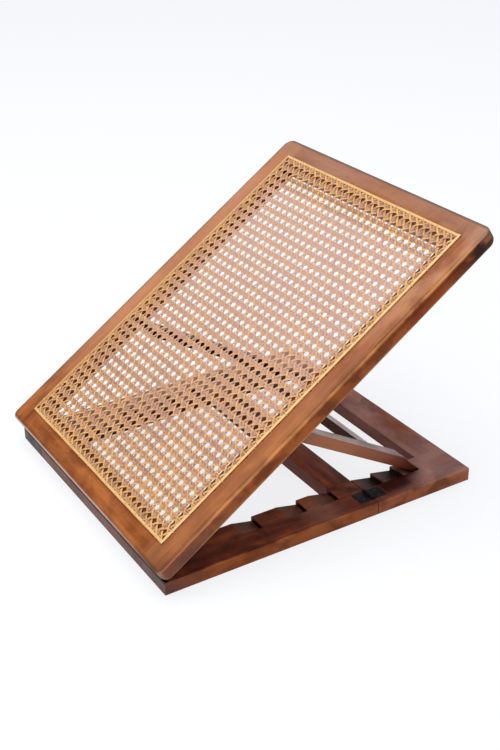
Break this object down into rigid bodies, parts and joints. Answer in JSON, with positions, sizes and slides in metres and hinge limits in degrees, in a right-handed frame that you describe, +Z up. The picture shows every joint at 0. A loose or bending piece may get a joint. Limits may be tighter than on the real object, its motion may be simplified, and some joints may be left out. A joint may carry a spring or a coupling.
{
  "type": "folding caned reading rest",
  "caption": "Folding wooden rest with a caned sloping panel, a prop with beaked feet and a notched base in hinged sections, for holding an album or book at an angle.",
  "frame": {"origin": "on the supporting surface, under the middle of the box of the whole stand as it stands open", "axes": "+Z up, +Y from the hinged front edge to the back, +X to the right seen from the front"},
  "size_m": [0.4176, 0.4516, 0.34],
  "materials": {
    "panel_mahogany": "worn varnish, satin",
    "base_mahogany": "dark varnish, satin",
    "prop_mahogany": "varnish, satin",
    "cane": "aged rattan cane, semi-gloss",
    "binder_cane": "pale rattan binding cane, semi-gloss",
    "black_iron": "blackened, satin",
    "screw_steel": "darkened"
  },
  "bodies": {
    "base_front": {"front_left_rail": "base_mahogany", "front_right_rail": "base_mahogany", "base_front_rail": "base_mahogany", "base_cross_rail": "base_mahogany", "panel_hinge_left_base_leaf": "black_iron", "panel_hinge_left_pin": "black_iron", "panel_hinge_right_base_leaf": "black_iron", "panel_hinge_right_pin": "black_iron", "panel_hinge_base_screws": "screw_steel", "fold_hinge_left_front_leaf": "black_iron", "fold_hinge_left_pin": "black_iron", "fold_hinge_right_front_leaf": "black_iron", "fold_hinge_right_pin": "black_iron", "fold_hinge_front_screws": "screw_steel"},
    "panel": {"panel_left_stile": "panel_mahogany", "panel_right_stile": "panel_mahogany", "panel_top_rail": "panel_mahogany", "panel_bottom_rail": "panel_mahogany", "cane_sheet": "cane", "binder_left": "binder_cane", "binder_right": "binder_cane", "binder_top": "binder_cane", "binder_bottom": "binder_cane", "pivot_screw_left": "screw_steel", "pivot_screw_right": "screw_steel", "pivot_washer_left": "screw_steel", "pivot_washer_right": "screw_steel", "panel_hinge_left_panel_leaf": "black_iron", "panel_hinge_right_panel_leaf": "black_iron", "panel_hinge_panel_screws": "screw_steel"},
    "prop": {"prop_left_strut": "prop_mahogany", "prop_right_strut": "prop_mahogany", "prop_cross_bar": "prop_mahogany"},
    "base_rear": {"rear_left_rail": "base_mahogany", "rear_right_rail": "base_mahogany", "base_rear_rail": "base_mahogany", "fold_hinge_left_rear_leaf": "black_iron", "fold_hinge_right_rear_leaf": "black_iron", "fold_hinge_rear_screws": "screw_steel"}
  },
  "joints": [
    {"name": "panel_tilt", "type": "hinge", "parent": "base_front", "child": "panel", "pos_m": [0, -0.21367, 0.0185], "axis": [1, 0, 0], "range_deg": [0, 60]},
    {"name": "prop_swing", "type": "hinge", "parent": "panel", "child": "prop", "pos_m": [0, -0.05133, 0.14249], "axis": [1, 0, 0], "range_deg": [0, 64]},
    {"name": "rear_fold", "type": "hinge", "parent": "base_front", "child": "base_rear", "pos_m": [0, 0.07633, 0.0179], "axis": [1, 0, 0], "range_deg": [0, 180]}
  ],
  "couplings": [
    {"joint": "rear_fold", "follows": "panel_tilt", "ratio": 3}
  ]
}
